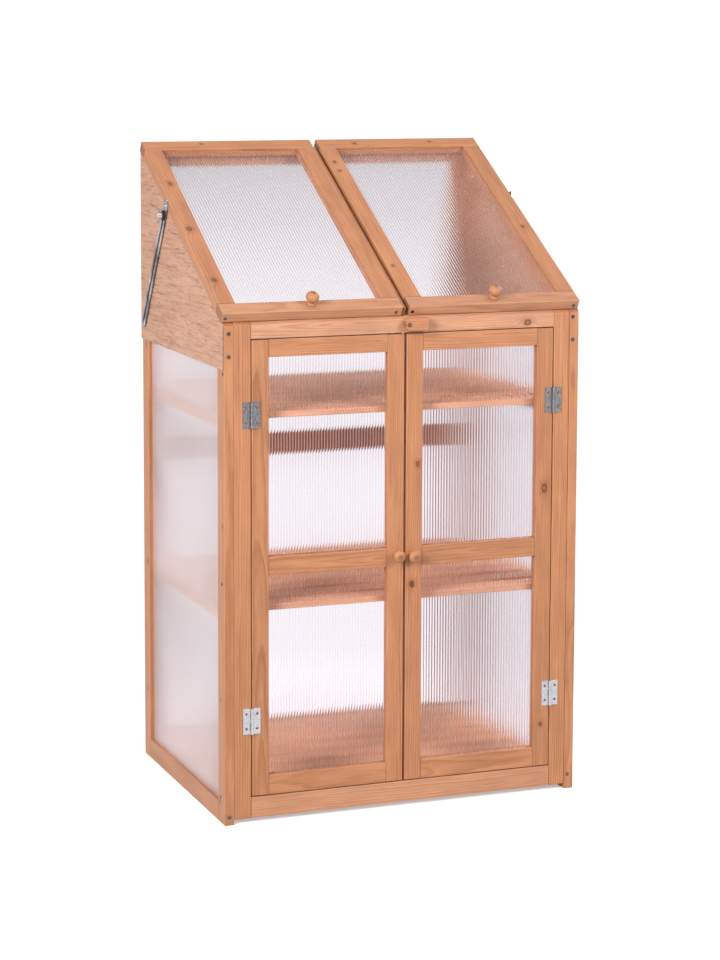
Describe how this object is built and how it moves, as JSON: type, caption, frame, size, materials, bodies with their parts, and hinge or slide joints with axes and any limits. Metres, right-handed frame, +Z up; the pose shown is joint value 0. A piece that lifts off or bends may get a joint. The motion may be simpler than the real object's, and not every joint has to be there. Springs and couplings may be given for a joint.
{
  "type": "mini greenhouse",
  "caption": "Tall wooden mini greenhouse with a sloping glazed top in hinged lids, glazed front doors, twin-wall panels all round and slatted shelves inside.",
  "frame": {"origin": "on the floor under the centre of the bounding box", "axes": "+Z up, -Y towards the doors, +X to the right of someone facing the doors"},
  "size_m": [0.804, 0.5926, 1.3293],
  "materials": {
    "frame_wood": "stained softwood, satin",
    "turned_wood": "stained softwood, turned or sawn small pieces",
    "shelf_wood": "stained softwood slats",
    "plywood": "thin stained plywood",
    "twin_wall": "clear ribbed twin-wall sheet",
    "zinc": "zinc plated",
    "steel": "bright plated",
    "clamp_plastic": "moulded"
  },
  "bodies": {
    "carcass": {"back_glazing": "twin_wall", "back_rails": "frame_wood", "back_stiles": "frame_wood", "bottom_shelf_slats": "shelf_wood", "centre_rafter": "frame_wood", "door_hinge_frame_leaves": "zinc", "door_hinge_frame_screws": "zinc", "frame_screws": "steel", "front_bottom_rail": "frame_wood", "front_stiles": "frame_wood", "front_top_rail": "frame_wood", "gable_nails": "steel", "left_front_post": "frame_wood", "left_gable_board": "plywood", "left_rear_post": "frame_wood", "left_side_rails": "frame_wood", "lid_hinge_frame_leaves": "zinc", "middle_shelf_slats": "shelf_wood", "right_front_post": "frame_wood", "right_gable_board": "plywood", "right_rear_post": "frame_wood", "right_side_rails": "frame_wood", "shelf_bearers": "shelf_wood", "side_glazing": "twin_wall", "stay_bolts": "steel", "stay_clamp_blocks": "clamp_plastic", "top_shelf_slats": "shelf_wood"},
    "left_door": {"left_door_glazing": "twin_wall", "left_door_hinge_leaves": "zinc", "left_door_hinge_screws": "zinc", "left_door_knob": "turned_wood", "left_door_rails": "frame_wood", "left_door_stiles": "frame_wood"},
    "right_door": {"right_door_glazing": "twin_wall", "right_door_hinge_leaves": "zinc", "right_door_hinge_screws": "zinc", "right_door_knob": "turned_wood", "right_door_rails": "frame_wood", "right_door_stiles": "frame_wood"},
    "left_lid": {"left_lid_glazing": "twin_wall", "left_lid_hinge_leaves": "zinc", "left_lid_knob": "turned_wood", "left_lid_rails": "frame_wood", "left_lid_screws": "steel", "left_lid_stiles": "frame_wood", "left_stay_pivot_screw": "steel"},
    "right_lid": {"right_lid_glazing": "twin_wall", "right_lid_hinge_leaves": "zinc", "right_lid_knob": "turned_wood", "right_lid_rails": "frame_wood", "right_lid_screws": "steel", "right_lid_stiles": "frame_wood", "right_stay_pivot_screw": "steel"},
    "left_stay": {"left_stay_bar": "steel"},
    "right_stay": {"right_stay_bar": "steel"},
    "turn_button": {"turn_button": "turned_wood"},
    "left_wing_nut": {"left_wing_nut": "steel"},
    "right_wing_nut": {"right_wing_nut": "steel"}
  },
  "joints": [
    {"name": "left_door_hinge", "type": "hinge", "parent": "carcass", "child": "left_door", "pos_m": [-0.324, -0.2727, 0.5135], "axis": [0, 0, -1], "range_deg": [0, 170]},
    {"name": "right_door_hinge", "type": "hinge", "parent": "carcass", "child": "right_door", "pos_m": [0.324, -0.2727, 0.5135], "axis": [0, 0, 1], "range_deg": [0, 170]},
    {"name": "left_lid_hinge", "type": "hinge", "parent": "carcass", "child": "left_lid", "pos_m": [-0.195, 0.2933, 1.31086], "axis": [-1, 0, 0], "range_deg": [0, 70]},
    {"name": "right_lid_hinge", "type": "hinge", "parent": "carcass", "child": "right_lid", "pos_m": [0.195, 0.2933, 1.31086], "axis": [-1, 0, 0], "range_deg": [0, 70]},
    {"name": "left_stay_pivot", "type": "hinge", "parent": "left_lid", "child": "left_stay", "pos_m": [-0.3863, 0.0939, 1.2061], "axis": [-1, 0, 0], "range_deg": [-34, 0]},
    {"name": "right_stay_pivot", "type": "hinge", "parent": "right_lid", "child": "right_stay", "pos_m": [0.3863, 0.0939, 1.2061], "axis": [-1, 0, 0], "range_deg": [-34, 0]},
    {"name": "turn_button_pivot", "type": "hinge", "parent": "carcass", "child": "turn_button", "pos_m": [0.001, -0.2781, 0.986], "axis": [0, -1, 0], "range_deg": [-90, 0]},
    {"name": "left_wing_nut_turn", "type": "hinge", "parent": "carcass", "child": "left_wing_nut", "pos_m": [-0.396, 0.10806, 1.1843], "axis": [-1, 0, 0], "continuous": true},
    {"name": "right_wing_nut_turn", "type": "hinge", "parent": "carcass", "child": "right_wing_nut", "pos_m": [0.396, 0.10806, 1.1843], "axis": [1, 0, 0], "continuous": true}
  ],
  "couplings": [
    {"joint": "left_stay_pivot", "follows": "left_lid_hinge", "ratio": -0.469},
    {"joint": "right_stay_pivot", "follows": "right_lid_hinge", "ratio": -0.469}
  ]
}
